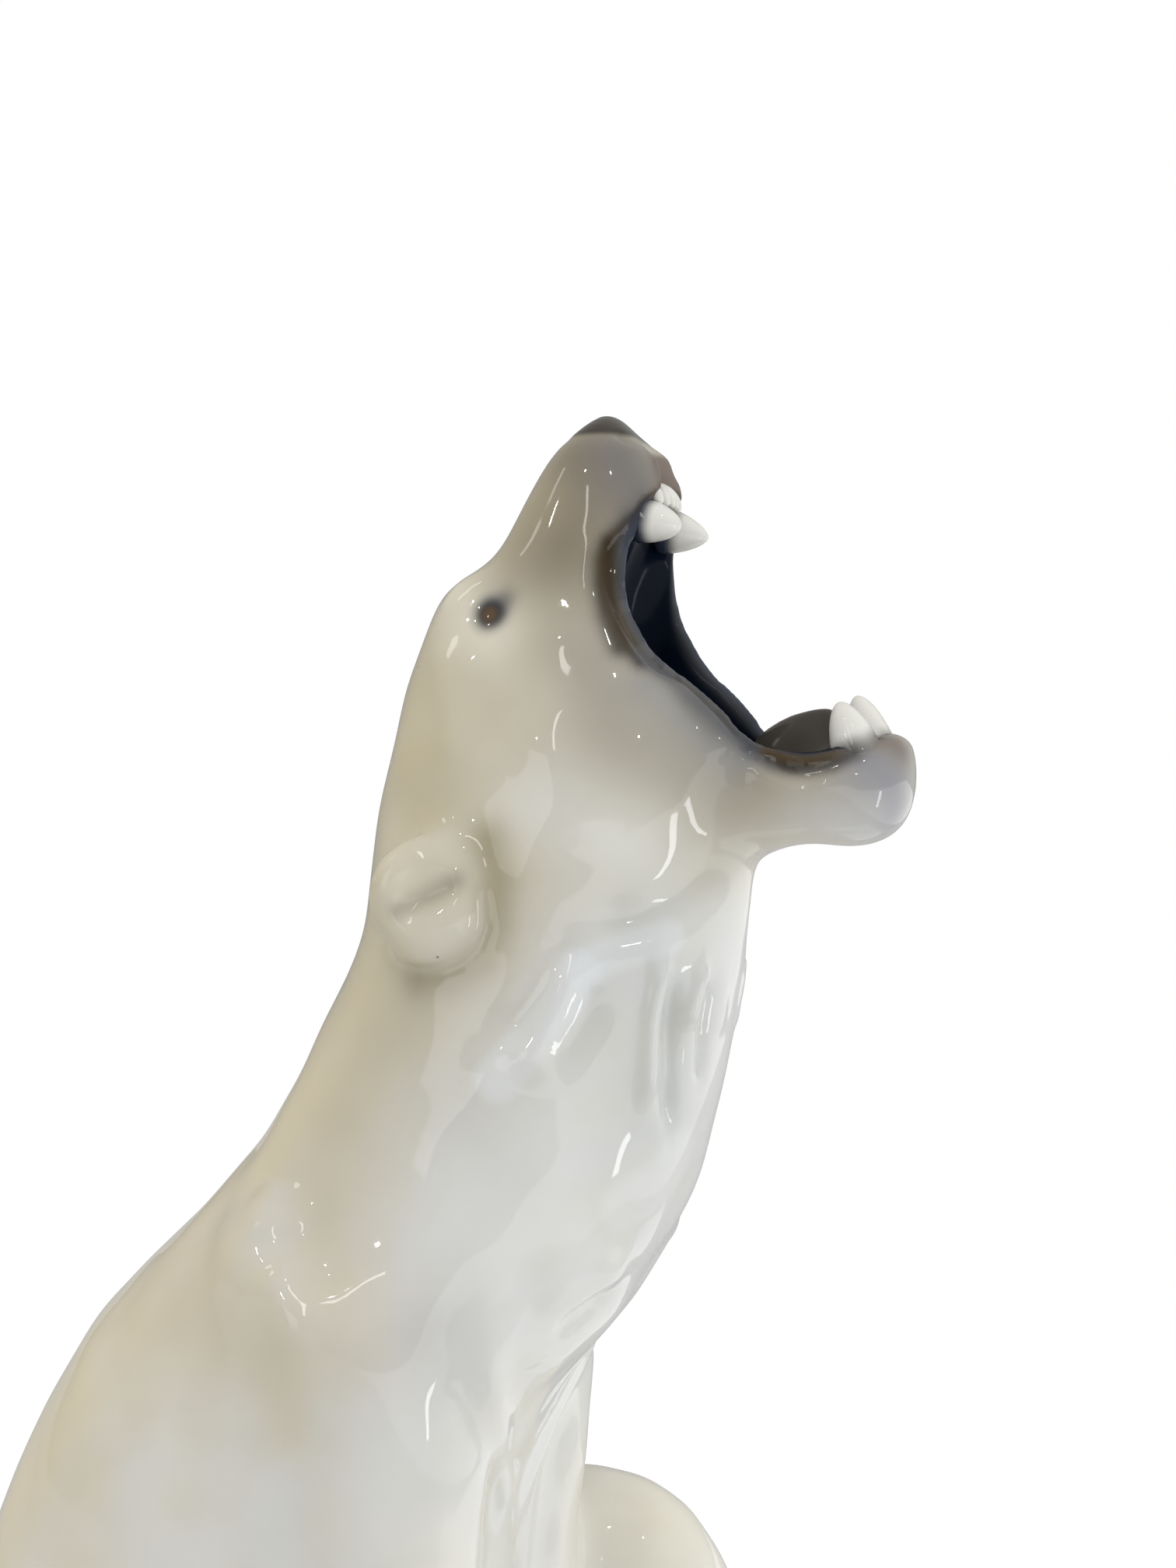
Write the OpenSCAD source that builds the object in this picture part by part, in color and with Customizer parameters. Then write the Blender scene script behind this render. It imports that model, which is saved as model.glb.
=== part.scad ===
// Seated polar bear with its head thrown up and its mouth open, a hollow glazed porcelain figurine.
// The bear looks along -Y and stands on z = 0. All sizes are millimetres.

/* [Body casting] */
// Height of the collar, the seam between neck and head
collar_z = 205; // [195:1:215]
// Reach of the rump behind the middle of the figure
rump_reach = 97; // [90:1:102]
// Reach of the throat in front of the middle at the collar
throat_reach = 68; // [64:1:72]
// Width of the body casting across the hips
hip_w = 112; // [104:1:120]
// Wall left by the slip casting
wall = 5; // [3:0.5:7]

/* [Base slab] */
// Thickness of the slab that closes the foot
slab_t = 5; // [3:0.5:8]
// Diameter of the vent hole in the slab
vent_d = 16; // [8:1:24]
// How far the vent hole lies behind the middle
vent_back = 36; // [20:1:50]

/* [Head casting] */
// Height of the head from the collar to the nose
head_h = 115; // [108:1:122]
// Reach of the throat under the jaw, in front of the middle
head_reach = 70; // [66:1:74]
// Width across the cheeks
cheek_w = 62; // [56:1:66]

/* [Mouth] */
// Radius of the round gape between the jaws
gape_r = 32; // [29:0.5:34]
// Width of the mouth inside the lips
gape_w = 25; // [21:0.5:27]
// Reach of the gape's centre in front of the middle
gape_reach = 72; // [70:0.5:74]
// Height of the gape's centre above the collar
gape_rise = 72; // [70:0.5:74]
// Thickness of the pressed cup that lines the mouth
lining_t = 2; // [1.5:0.25:3]

/* [Lower jaw] */
// Reach of the chin in front of the middle
chin_reach = 103; // [100:0.5:106]
// Height of the jaw's lower edge above the collar, behind the chin
jaw_rise = 29; // [27:0.5:31]
// Depth of the jaw at the lips
jaw_h = 21; // [18:0.5:24]
// Width of the jaw at the lower canines
jaw_w = 28; // [26:0.5:31]

/* [Tongue] */
// How far the tongue's crown lies in front of the gape's centre
tongue_set = 10; // [8:0.5:12]
// Length of the tongue
tongue_l = 30; // [26:0.5:32]
// Width of the tongue
tongue_w = 16; // [13:1:18]
// How far the tongue's crown stands above the floor of the mouth
tongue_h = 15.5; // [13:0.5:17]

/* [Teeth] */
// Thickness of an upper canine at the gum
upper_canine_d = 9.25; // [8:0.25:10.5]
// Length of an upper canine from its root to its tip
upper_canine_l = 11.5; // [10:0.5:14]
// Distance between the upper canines
upper_canine_gap = 21; // [19:0.5:22]
// Thickness of a lower canine at the gum
lower_canine_d = 8.5; // [7:0.25:9]
// Length of a lower canine from its root to its tip
lower_canine_l = 14; // [12:0.5:16]
// How far the lower canines stand behind the chin
lower_canine_set = 13; // [12:0.5:15]
// Distance between the lower canines
lower_canine_gap = 14; // [13:0.5:16]
// Number of upper incisors
incisor_count = 6; // [4:1:6]
// Width of an incisor
incisor_w = 2.5; // [2:0.1:2.6]
// Length of an incisor
incisor_l = 6; // [5:0.25:7]

/* [Ears] */
// Height of an ear
ear_h = 27; // [24:0.5:30]
// Width of an ear
ear_w = 24; // [20:0.5:26]
// Thickness of an ear
ear_t = 13; // [11:0.5:15]
// Depth of the dish in an ear
ear_dish = 3.5; // [2:0.25:4.5]
// Width of the rim around the dish
ear_rim = 5; // [4:0.25:6.5]
// Height of the ears above the collar
ear_rise = 19; // [16:0.5:22]

/* [Forelegs] */
// Height of the shoulder, where a foreleg ends in the body
shoulder_z = 168; // [160:1:174]
// Distance between the middles of the two paws
stance_w = 60; // [56:1:64]
// Thickness of a foreleg
foreleg_w = 35; // [31:0.5:38]
// Length of a forepaw
paw_l = 50; // [44:1:54]
// Width of a forepaw
paw_w = 36; // [33:0.5:38]
// Height of a forepaw
paw_h = 23; // [20:0.5:26]

/* [Hind legs] */
// Height of the knee
knee_z = 87; // [80:1:94]
// Reach of the shin in front of the middle
shin_reach = 57; // [54:1:62]
// Distance between the middles of the two knees
knee_gap = 118; // [114:1:124]
// Thickness of a haunch
haunch_w = 46; // [42:1:50]
// Reach of the toes in front of the middle
toe_reach = 94; // [88:1:98]
// Length of a hind foot
foot_l = 66; // [60:1:72]
// Width of a hind foot
foot_w = 34; // [30:0.5:37]
// Height of a hind foot
foot_h = 24; // [20:0.5:28]

/* [Tail] */
// Reach of the tail behind the rump
tail_reach = 6; // [3:0.5:9]
// Length of the tail
tail_l = 30; // [24:1:34]
// Width of the tail
tail_w = 22; // [18:1:26]

/* [Hidden] */

porcelain = "whitesmoke";
ivory = "ivory";
underglaze = "midnightblue";
tongue_grey = "dimgray";
right = -1;
left = 1;

// Sides of a section and sections of a loft
body_sides = 36;
limb_sides = 22;
tooth_sides = 16;
blob_sides = 24;
gape_sides = 48;
fillet_sides = 12;
tooth_steps = 7;
hollow_steps = 10;
sections_per_row = 2;

// Curves and sections

// Power of a number that keeps its sign
function signed_pow(v, p) = sign(v) * pow(abs(v), p);

// Steps from one value to another
function steps(from, to, count) = [for (i = [0:count]) from + (to - from) * i / count];

// Row of a table after which position s comes; rows start with a rising position
function row_index(rows, s, i = 0) =
  i >= len(rows) - 2 || s <= rows[i + 1][0] ? i : row_index(rows, s, i + 1);

// Slope of a table at a row
function row_slope(rows, i) =
  let (a = rows[max(i - 1, 0)], b = rows[min(i + 1, len(rows) - 1)]) (b - a) / (b[0] - a[0]);

// Smooth curve through the rows of a table at position s
function row_at(rows, s) =
  let (
    i = row_index(rows, s),
    p = rows[i],
    q = rows[i + 1],
    h = q[0] - p[0],
    t = (s - p[0]) / h,
    u = 1 - t
  )
  p * u * u * (1 + 2 * t) + q * t * t * (3 - 2 * t)
  + h * t * u * (u * row_slope(rows, i) - t * row_slope(rows, i + 1));

// Positions of the sections of a loft, closest where the rows of its table are
function positions(rows, count = sections_per_row) =
  [for (i = [0:len(rows) - 2], k = [0:count - 1]) rows[i][0] + (rows[i + 1][0] - rows[i][0]) * k / count,
    rows[len(rows) - 1][0]];

// A row of shares in millimetres
function sized(row, sizes) = [for (i = [0:len(row) - 1]) row[i] * sizes[i]];

// Level oval from back to front, counter-clockwise seen from above
function level_oval(z, back, front, x, w, middle, square, sides) =
  let (m = back + middle * (front - back), p = 2 / square)
  [for (i = [0:sides - 1])
    let (c = signed_pow(cos(360 * i / sides), p), s = signed_pow(sin(360 * i / sides), p))
    [x + w / 2 * c, -m + (s > 0 ? m - back : front - m) * s, z]];

// Upright oval across the figure at a reach, counter-clockwise seen from the front
function upright_oval(reach, low, high, x, w, square, sides) =
  let (m = (low + high) / 2, p = 2 / square)
  [for (i = [0:sides - 1])
    let (c = signed_pow(cos(360 * i / sides), p), s = signed_pow(sin(360 * i / sides), p))
    [x + w / 2 * c, -reach, m + (high - low) / 2 * s]];

// Moves every point of a ring by a step
function moved(ring, step) = [for (p = ring) p + step];

// Walls between rings of equally many points; joined ends make a closed shell
function wall_faces(rings, sides, joined) =
  [for (r = [0:rings - (joined ? 1 : 2)], i = [0:sides - 1])
    let (
      j = (i + 1) % sides,
      a = r * sides,
      b = (r + 1) % rings * sides
    )
    each [[a + i, b + i, b + j], [a + i, b + j, a + j]]];

// Solids

// Solid through a list of rings
module loft(rings) {
  sides = len(rings[0]);
  first = [for (i = [0:sides - 1]) i];
  last = [for (i = [sides - 1:-1:0]) (len(rings) - 1) * sides + i];
  polyhedron([for (r = rings) each r], concat(wall_faces(len(rings), sides, false), [first, last]));
}

// Hollow shell whose rings run up the outside and back down the inside
module ring_shell(rings) {
  polyhedron([for (r = rings) each r], wall_faces(len(rings), len(rings[0]), true));
}

// Round lump of a given width, length and height
module blob(size, sides = blob_sides) {
  scale(size / 2) sphere(1, $fn = sides);
}

// Free-form pieces trimmed to each other as meshes
module trimmed() {
  resize([0, 0, 0]) children();
}

// A piece drawn on the right, on either side
module on_side(side) {
  mirror([side == left ? 1 : 0, 0, 0]) children();
}

// Everything under the surface that the figure stands on
module ground() {
  span = 2 * (rump_reach + chin_reach);
  translate([-span / 2, -span / 2, -foot_h]) cube([span, span, foot_h]);
}

// Body and slab

// Body sections: height share of collar_z, back share of rump_reach, front share of throat_reach,
// width share of hip_w, place of the widest point between back and front, squareness
body_lines = [
  [0.00, -0.84, 0.18, 0.90, 0.50, 2.4],
  [0.10, -0.94, 0.22, 0.96, 0.48, 2.4],
  [0.24, -1.00, 0.26, 1.00, 0.47, 2.4],
  [0.37, -0.96, 0.29, 1.00, 0.47, 2.4],
  [0.49, -0.87, 0.32, 0.98, 0.48, 2.4],
  [0.58, -0.78, 0.40, 0.96, 0.50, 2.4],
  [0.64, -0.72, 0.53, 0.94, 0.50, 2.3],
  [0.68, -0.65, 0.64, 0.91, 0.50, 2.3],
  [0.73, -0.55, 0.73, 0.87, 0.49, 2.3],
  [0.79, -0.42, 0.84, 0.80, 0.47, 2.2],
  [0.85, -0.31, 0.90, 0.73, 0.45, 2.2],
  [0.93, -0.21, 0.96, 0.66, 0.43, 2.2],
  [1.00, -0.14, 1.00, 0.61, 0.42, 2.2],
];
body_sizes = [collar_z, rump_reach, throat_reach, hip_w, 1, 1];
body_rows = [for (r = body_lines) sized(r, body_sizes)];

// Heights of the body's sections, from the slab to the collar
body_heights = concat([slab_t], [for (z = positions(body_rows)) if (z > slab_t + wall) z]);

// A body section at height z, drawn in by an inset
function body_ring(z, inset = 0) =
  let (r = row_at(body_rows, z))
  level_oval(z, r[1] + inset, r[2] - inset, 0, r[3] - 2 * inset, r[4], r[5], body_sides);

// The body and its slab as one solid, which trims the pieces that join it
module body_mass() {
  foot = moved(body_ring(slab_t), [0, 0, -slab_t]);
  loft(concat([foot], [for (z = body_heights) body_ring(z)]));
}

module body_shell() {
  outside = [for (z = body_heights) body_ring(z)];
  inside = [for (i = [len(body_heights) - 1:-2:1]) body_ring(body_heights[i], wall)];
  color(porcelain) ring_shell(concat(outside, inside, [body_ring(slab_t, wall)]));
}

module base_slab() {
  color(porcelain) difference() {
    linear_extrude(slab_t) polygon([for (p = body_ring(slab_t)) [p.x, p.y]]);
    translate([0, vent_back, -slab_t]) cylinder(h = 3 * slab_t, d = vent_d, $fn = 48);
  }
}

// Head and mouth

// Head sections: height share of head_h above the collar, back and front shares of head_reach,
// width share of cheek_w, place of the widest point, squareness
head_lines = [
  [0.10, -0.12, 0.99, 1.07, 0.43, 2.2],
  [0.18, -0.11, 1.00, 1.05, 0.44, 2.2],
  [0.27, -0.09, 1.00, 1.02, 0.46, 2.2],
  [0.36, -0.06, 1.00, 0.99, 0.48, 2.3],
  [0.45, -0.02, 0.99, 0.94, 0.50, 2.4],
  [0.53, 0.01, 0.90, 0.87, 0.53, 2.5],
  [0.61, 0.06, 0.81, 0.79, 0.55, 2.5],
  [0.66, 0.09, 0.77, 0.73, 0.55, 2.5],
  [0.70, 0.13, 0.76, 0.67, 0.54, 2.5],
  [0.74, 0.25, 0.76, 0.62, 0.52, 2.4],
  [0.79, 0.31, 0.77, 0.57, 0.52, 2.4],
  [0.84, 0.35, 0.77, 0.53, 0.52, 2.4],
  [0.89, 0.40, 0.75, 0.49, 0.52, 2.4],
  [0.93, 0.45, 0.72, 0.42, 0.52, 2.3],
  [0.965, 0.51, 0.67, 0.32, 0.50, 2.2],
  [0.99, 0.56, 0.63, 0.18, 0.50, 2.0],
  [1.00, 0.585, 0.605, 0.05, 0.50, 2.0],
];
head_sizes = [head_h, head_reach, head_reach, cheek_w, 1, 1];

// The head starts on the body's last section
collar_row = let (r = row_at(body_rows, collar_z)) [0, r[1], r[2], r[3], r[4], r[5]];
head_rows = concat([collar_row], [for (r = head_lines) sized(r, head_sizes)]);

gape_z = collar_z + gape_rise;
gape_fillet = 0.32 * gape_w;
hollow_top = gape_z - gape_r / 3;

function head_ring(z) =
  let (r = row_at(head_rows, z - collar_z))
  level_oval(z, r[1], r[2], 0, r[3], r[4], r[5], body_sides);

// Front of the hollow at height z, a wall behind the mouth's lining
function hollow_front(z, front) =
  let (d = pow(gape_r + lining_t + wall, 2) - pow(z - gape_z, 2))
  d > 0 ? min(front, gape_reach - sqrt(d)) : front;

function hollow_ring(z) =
  let (r = row_at(head_rows, z - collar_z))
  level_oval(z, r[1] + wall, hollow_front(z, r[2] - wall), 0, r[3] - 2 * wall, r[4], r[5], body_sides);

module head_mass() {
  loft([for (rise = positions(head_rows)) head_ring(collar_z + rise)]);
}

// The hollow of the head, from just under the collar to behind the mouth
module head_hollow() {
  below = moved(hollow_ring(collar_z), [0, 0, -wall]);
  loft(concat([below], [for (z = steps(collar_z, hollow_top, hollow_steps)) hollow_ring(z)]));
}

// Round gape between the jaws, grown by a margin
module gape(margin = 0) {
  half = [gape_r + margin, gape_w / 2 + margin];
  translate([0, -gape_reach, gape_z]) rotate([0, 90, 0])
    rotate_extrude($fn = gape_sides) intersection() {
      offset(r = gape_fillet, $fn = fillet_sides)
        square(2 * half - 2 * [gape_fillet, gape_fillet], center = true);
      translate([0, -half.y]) square([half.x, gape_w + 2 * margin]);
    }
}

module head_shell() {
  color(porcelain) trimmed() difference() {
    head_mass();
    gape(lining_t);
    head_hollow();
  }
}

// Jaw sections: reach share of chin_reach, lower and upper edge shares of jaw_h, width share of jaw_w
jaw_lines = [
  [0.40, -0.45, 1.90, 1.70],
  [0.55, -0.30, 1.90, 1.45],
  [0.64, -0.20, 1.62, 1.28],
  [0.72, -0.08, 1.20, 1.14],
  [0.80, 0.02, 1.13, 1.06],
  [0.87, 0.00, 1.12, 1.02],
  [0.93, 0.03, 1.10, 0.92],
  [0.97, 0.17, 1.04, 0.70],
  [0.99, 0.38, 1.00, 0.44],
  [1.00, 0.62, 0.86, 0.14],
];
jaw_rows = [for (r = jaw_lines) sized(r, [chin_reach, jaw_h, jaw_h, jaw_w])];
jaw_square_ratio = 2.5;
jaw_z = collar_z + jaw_rise;

module jaw_mass() {
  loft([for (reach = positions(jaw_rows))
    let (r = row_at(jaw_rows, reach))
    upright_oval(reach, jaw_z + r[1], jaw_z + r[2], 0, r[3], jaw_square_ratio, limb_sides)]);
}

module lower_jaw() {
  color(porcelain) trimmed() difference() {
    jaw_mass();
    head_mass();
    gape(lining_t);
  }
}

module jaws() {
  head_mass();
  jaw_mass();
}

module mouth_lining() {
  color(underglaze) trimmed() intersection() {
    difference() {
      gape(lining_t);
      gape();
    }
    jaws();
  }
}

// What the teeth are stuck to
module gums() {
  difference() {
    jaws();
    gape();
  }
}

module tongue() {
  color(tongue_grey) trimmed() difference() {
    intersection() {
      translate([0, -gape_reach - tongue_set, gape_z - gape_r]) blob([tongue_w, tongue_l, 2 * tongue_h]);
      gape();
    }
    for (side = [right, left]) on_side(side) lower_canine_mass();
  }
}

// Teeth

canine_taper_ratio = 0.55;
canine_tip_ratio = 0.01;

// Blunt tooth along +Z with its root at the origin
module canine(d, l) {
  loft([for (t = steps(0, 1, tooth_steps))
    let (w = d * (1 - canine_taper_ratio * t) * sqrt(1 - (1 - canine_tip_ratio) * pow(t, 3)))
    level_oval(t * l, -w / 2, w / 2, 0, w, 0.5, 2, tooth_sides)]);
}

// Upper canines and incisors on the roof of the gape: shares of gape_r behind and above its centre
upper_canine_ratios = [0.74, 0.672];
upper_tooth_angles = [112, 0, 0];
upper_canine_splay_angle = 10;

module upper_canine_mass() {
  reach = gape_reach - upper_canine_ratios[0] * gape_r;
  z = gape_z + upper_canine_ratios[1] * gape_r;
  translate([-upper_canine_gap / 2, -reach, z]) rotate(upper_tooth_angles)
    rotate([0, upper_canine_splay_angle, 0]) canine(upper_canine_d, upper_canine_l);
}

module upper_canine(side) {
  color(ivory) trimmed() difference() {
    on_side(side) upper_canine_mass();
    gums();
  }
}

// Gum height at the lower canines as a share of jaw_h, and the share of a canine that is root
lower_gum_ratio = 0.86;
lower_root_ratio = 0.33;
lower_canine_angles = [-8, 6, 0];

module lower_canine_mass() {
  z = jaw_z + lower_gum_ratio * jaw_h - lower_root_ratio * lower_canine_l;
  translate([-lower_canine_gap / 2, lower_canine_set - chin_reach, z]) rotate(lower_canine_angles)
    canine(lower_canine_d, lower_canine_l);
}

module lower_canine(side) {
  color(ivory) trimmed() difference() {
    on_side(side) lower_canine_mass();
    gums();
  }
}

incisor_ratios = [0.61, 0.815];
incisor_pitch = 1.08 * incisor_w;
incisor_row_w = incisor_count * incisor_pitch;
// How far the row of incisors curves back at its ends
incisor_bow = 1.5;

module upper_incisors() {
  for (i = [0:incisor_count - 1]) {
    x = (i - (incisor_count - 1) / 2) * incisor_pitch;
    reach = gape_reach - incisor_ratios[0] * gape_r - incisor_bow * pow(2 * x / incisor_row_w, 2);
    color(ivory) trimmed() difference() {
      translate([x, -reach, gape_z + incisor_ratios[1] * gape_r]) rotate(upper_tooth_angles)
        blob([incisor_w, incisor_w, incisor_l], tooth_sides);
      gums();
    }
  }
}

// Ears

// Place of an ear beside and before the middle, as shares of cheek_w and head_reach
ear_place_ratios = [0.53, 0.23];
ear_turn_angles = [-20, 0, 14];

module ear_mass() {
  x = -ear_place_ratios[0] * cheek_w;
  reach = ear_place_ratios[1] * head_reach;
  dish = [2 * ear_dish, ear_w - 2 * ear_rim, ear_h - 2 * ear_rim];
  translate([x, -reach, collar_z + ear_rise]) rotate(ear_turn_angles) difference() {
    blob([ear_t, ear_w, ear_h]);
    translate([-ear_t / 2, 0, 0]) blob(dish);
  }
}

module ear(side) {
  color(porcelain) trimmed() difference() {
    on_side(side) ear_mass();
    head_mass();
    body_mass();
  }
}

// Legs

leg_square_ratio = 2.2;
paw_square_ratio = 2.5;
paw_widest_ratio = 0.55;

// Foreleg sections: height share of shoulder_z, reach of the middle as a share of paw_l,
// depth and width shares of foreleg_w, step outwards from the stance as a share of foreleg_w
foreleg_lines = [
  [0.00, 0.42, 1.06, 0.94, 0.00],
  [0.13, 0.30, 1.06, 0.94, 0.00],
  [0.24, 0.18, 0.92, 0.90, 0.00],
  [0.40, 0.14, 0.97, 0.94, 0.00],
  [0.58, 0.13, 1.08, 1.03, 0.05],
  [0.74, 0.10, 1.28, 1.10, 0.12],
  [0.86, -0.01, 1.38, 1.05, 0.16],
  [0.94, -0.12, 1.20, 0.88, 0.14],
  [0.98, -0.18, 0.80, 0.58, 0.10],
  [1.00, -0.21, 0.25, 0.20, 0.06],
];
foreleg_rows = [for (r = foreleg_lines) sized(r, [shoulder_z, paw_l, foreleg_w, foreleg_w, foreleg_w])];

// Paw sections: height share of paw_h, length share of paw_l, width share of paw_w
paw_lines = [
  [0.00, 0.94, 0.94],
  [0.18, 1.00, 1.00],
  [0.45, 0.96, 1.00],
  [0.75, 0.78, 0.90],
  [1.00, 0.45, 0.60],
];
paw_rows = [for (r = paw_lines) sized(r, [paw_h, paw_l, paw_w])];

module foreleg_mass() {
  x = -stance_w / 2;
  loft([for (z = positions(foreleg_rows))
    let (r = row_at(foreleg_rows, z))
    level_oval(z, r[1] - r[2] / 2, r[1] + r[2] / 2, x - r[4], r[3], 0.5, leg_square_ratio, limb_sides)]);
  loft([for (z = positions(paw_rows))
    let (r = row_at(paw_rows, z))
    let (heel = (paw_l - r[1]) / 2)
    level_oval(z, heel, heel + r[1], x, r[2], paw_widest_ratio, paw_square_ratio, limb_sides)]);
}

module foreleg(side) {
  color(porcelain) trimmed() difference() {
    on_side(side) foreleg_mass();
    body_mass();
  }
}

// Hind leg sections: reach share between hip and shin, lower and upper edge shares of knee_z,
// width share of haunch_w, step inwards from the knee as a share of haunch_w
hind_lines = [
  [0.00, 0.20, 0.45, 0.15, 0.62],
  [0.07, 0.05, 0.62, 0.60, 0.50],
  [0.20, -0.04, 0.78, 0.90, 0.33],
  [0.38, -0.04, 0.90, 1.02, 0.20],
  [0.55, -0.04, 0.97, 1.03, 0.11],
  [0.70, -0.04, 1.02, 0.97, 0.04],
  [0.81, -0.03, 1.00, 0.89, 0.00],
  [0.90, 0.00, 0.91, 0.79, 0.00],
  [0.96, 0.08, 0.75, 0.62, 0.00],
  [1.00, 0.22, 0.52, 0.22, 0.00],
];
// Share of the rump's reach at which a haunch begins
haunch_start_ratio = 0.85;
hip_reach = -haunch_start_ratio * rump_reach;
hind_sizes = [shin_reach - hip_reach, knee_z, knee_z, haunch_w, haunch_w];
hind_rows = [for (r = hind_lines) sized(r, hind_sizes)];

module hind_leg_mass() {
  loft([for (s = positions(hind_rows))
    let (r = row_at(hind_rows, s))
    upright_oval(hip_reach + s, r[1], r[2], r[4] - knee_gap / 2, r[3], leg_square_ratio, limb_sides)]);
}

module hind_leg(side) {
  color(porcelain) trimmed() difference() {
    on_side(side) hind_leg_mass();
    on_side(side) foreleg_mass();
    body_mass();
    ground();
  }
}

// Foot sections: length share of foot_l from the heel, lower and upper edge shares of foot_h,
// width share of foot_w
foot_lines = [
  [0.00, -0.12, 0.45, 0.25],
  [0.08, -0.12, 0.85, 0.66],
  [0.25, -0.12, 1.00, 0.88],
  [0.55, -0.12, 0.93, 0.99],
  [0.80, -0.12, 0.80, 1.03],
  [0.94, -0.12, 0.60, 0.84],
  [0.99, -0.12, 0.36, 0.50],
  [1.00, -0.12, 0.20, 0.20],
];
foot_rows = [for (r = foot_lines) sized(r, [foot_l, foot_h, foot_h, foot_w])];
foot_square_ratio = 2.6;
// How far a foot stands out from its knee, as a share of foot_w
foot_splay_ratio = 0.1;

module hind_foot_mass() {
  x = -knee_gap / 2 - foot_splay_ratio * foot_w;
  loft([for (s = positions(foot_rows))
    let (r = row_at(foot_rows, s))
    upright_oval(toe_reach - foot_l + s, r[1], r[2], x, r[3], foot_square_ratio, limb_sides)]);
}

module hind_foot(side) {
  color(porcelain) trimmed() difference() {
    on_side(side) hind_foot_mass();
    on_side(side) hind_leg_mass();
    on_side(side) foreleg_mass();
    body_mass();
    ground();
  }
}

// Tail

tail_tilt_angle = 24;
tail_size = [tail_w, 0.8 * tail_w, 1.4 * tail_l];
tail_depth = norm([tail_size.y * cos(tail_tilt_angle), tail_size.z * sin(tail_tilt_angle)]);
tail_rise = 0.75 * tail_l;

module tail() {
  color(porcelain) trimmed() difference() {
    translate([0, rump_reach + tail_reach - tail_depth / 2, tail_rise])
      rotate([tail_tilt_angle, 0, 0]) blob(tail_size);
    body_mass();
    ground();
  }
}

body_shell();
base_slab();
head_shell();
lower_jaw();
mouth_lining();
tongue();
ear(right);  // right_ear
ear(left);  // left_ear
upper_canine(right);  // right_upper_canine
upper_canine(left);  // left_upper_canine
upper_incisors();
lower_canine(right);  // right_lower_canine
lower_canine(left);  // left_lower_canine
foreleg(right);  // right_foreleg
foreleg(left);  // left_foreleg
hind_leg(right);  // right_hind_leg
hind_leg(left);  // left_hind_leg
hind_foot(right);  // right_hind_foot
hind_foot(left);  // left_hind_foot
tail();
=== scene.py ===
import math

import bmesh
import bpy
import numpy as np
from mathutils import Matrix, Vector
from mathutils.bvhtree import BVHTree
from mathutils.kdtree import KDTree


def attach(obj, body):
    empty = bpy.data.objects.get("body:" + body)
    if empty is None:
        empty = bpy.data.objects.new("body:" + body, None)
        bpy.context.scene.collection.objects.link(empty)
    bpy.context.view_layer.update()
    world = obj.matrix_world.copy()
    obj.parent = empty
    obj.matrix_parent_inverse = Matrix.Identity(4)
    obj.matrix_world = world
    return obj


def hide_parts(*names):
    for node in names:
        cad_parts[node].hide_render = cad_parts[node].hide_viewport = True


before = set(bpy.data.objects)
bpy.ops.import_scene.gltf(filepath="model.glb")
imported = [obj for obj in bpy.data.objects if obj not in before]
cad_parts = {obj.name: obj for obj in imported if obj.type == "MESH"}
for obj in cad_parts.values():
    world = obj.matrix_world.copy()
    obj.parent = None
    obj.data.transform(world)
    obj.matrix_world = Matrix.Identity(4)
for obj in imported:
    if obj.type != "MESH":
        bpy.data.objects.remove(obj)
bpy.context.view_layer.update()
scene = bpy.context.scene
mm = 0.001

# the camera stands level with the jaw, on the bear's right and a little to its front
photoCamera = {
    "target": (0.0, -0.037, 0.246),
    "azimuth": -72.0,
    "distance": 0.4,
    "focalPixels": 2560.0,
    "imageSize": (1512, 2016),
    "sensor": 36.0,
}
sideTurn = math.radians(photoCamera["azimuth"])
viewBack = Vector((math.sin(sideTurn), -math.cos(sideTurn), 0.0))
viewRight = viewBack.cross(Vector((0, 0, -1)))
cameraSpot = Vector(photoCamera["target"]) + viewBack * photoCamera["distance"]


def makeCamera():
    data = bpy.data.cameras.new("camera")
    data.sensor_width = photoCamera["sensor"]
    data.lens = photoCamera["focalPixels"] / max(photoCamera["imageSize"]) * photoCamera["sensor"]
    data.clip_start = 0.01
    camera = bpy.data.objects.new("camera", data)
    camera.location = cameraSpot
    camera.rotation_mode = "QUATERNION"
    camera.rotation_quaternion = (-viewBack).to_track_quat("-Z", "Y")
    scene.collection.objects.link(camera)
    scene.camera = camera


makeCamera()
print("camera set")

# the castings are joined and smoothed as one wet skin, then cut apart again at the joints
casting = {
    "voxel": 1.1 * mm,
    "ventPlug": (0.0, 0.036, 0.0025),
    "plugRadius": 9 * mm,
    "plugDepth": 5 * mm,
    "stubCut": 0.85,   # share of each canine past its gum that is pushed back into a stub
    "relaxRounds": 80,
    "footFade": 14 * mm,   # the foot below this and the nose above that keep their form
    "noseFade": (300 * mm, 314 * mm),
    "noseFirmness": 0.75,
    "fineReach": 4.5 * mm,
    "finestFold": 2.3,
    "eyeReach": 8.0 * mm,
}
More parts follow.
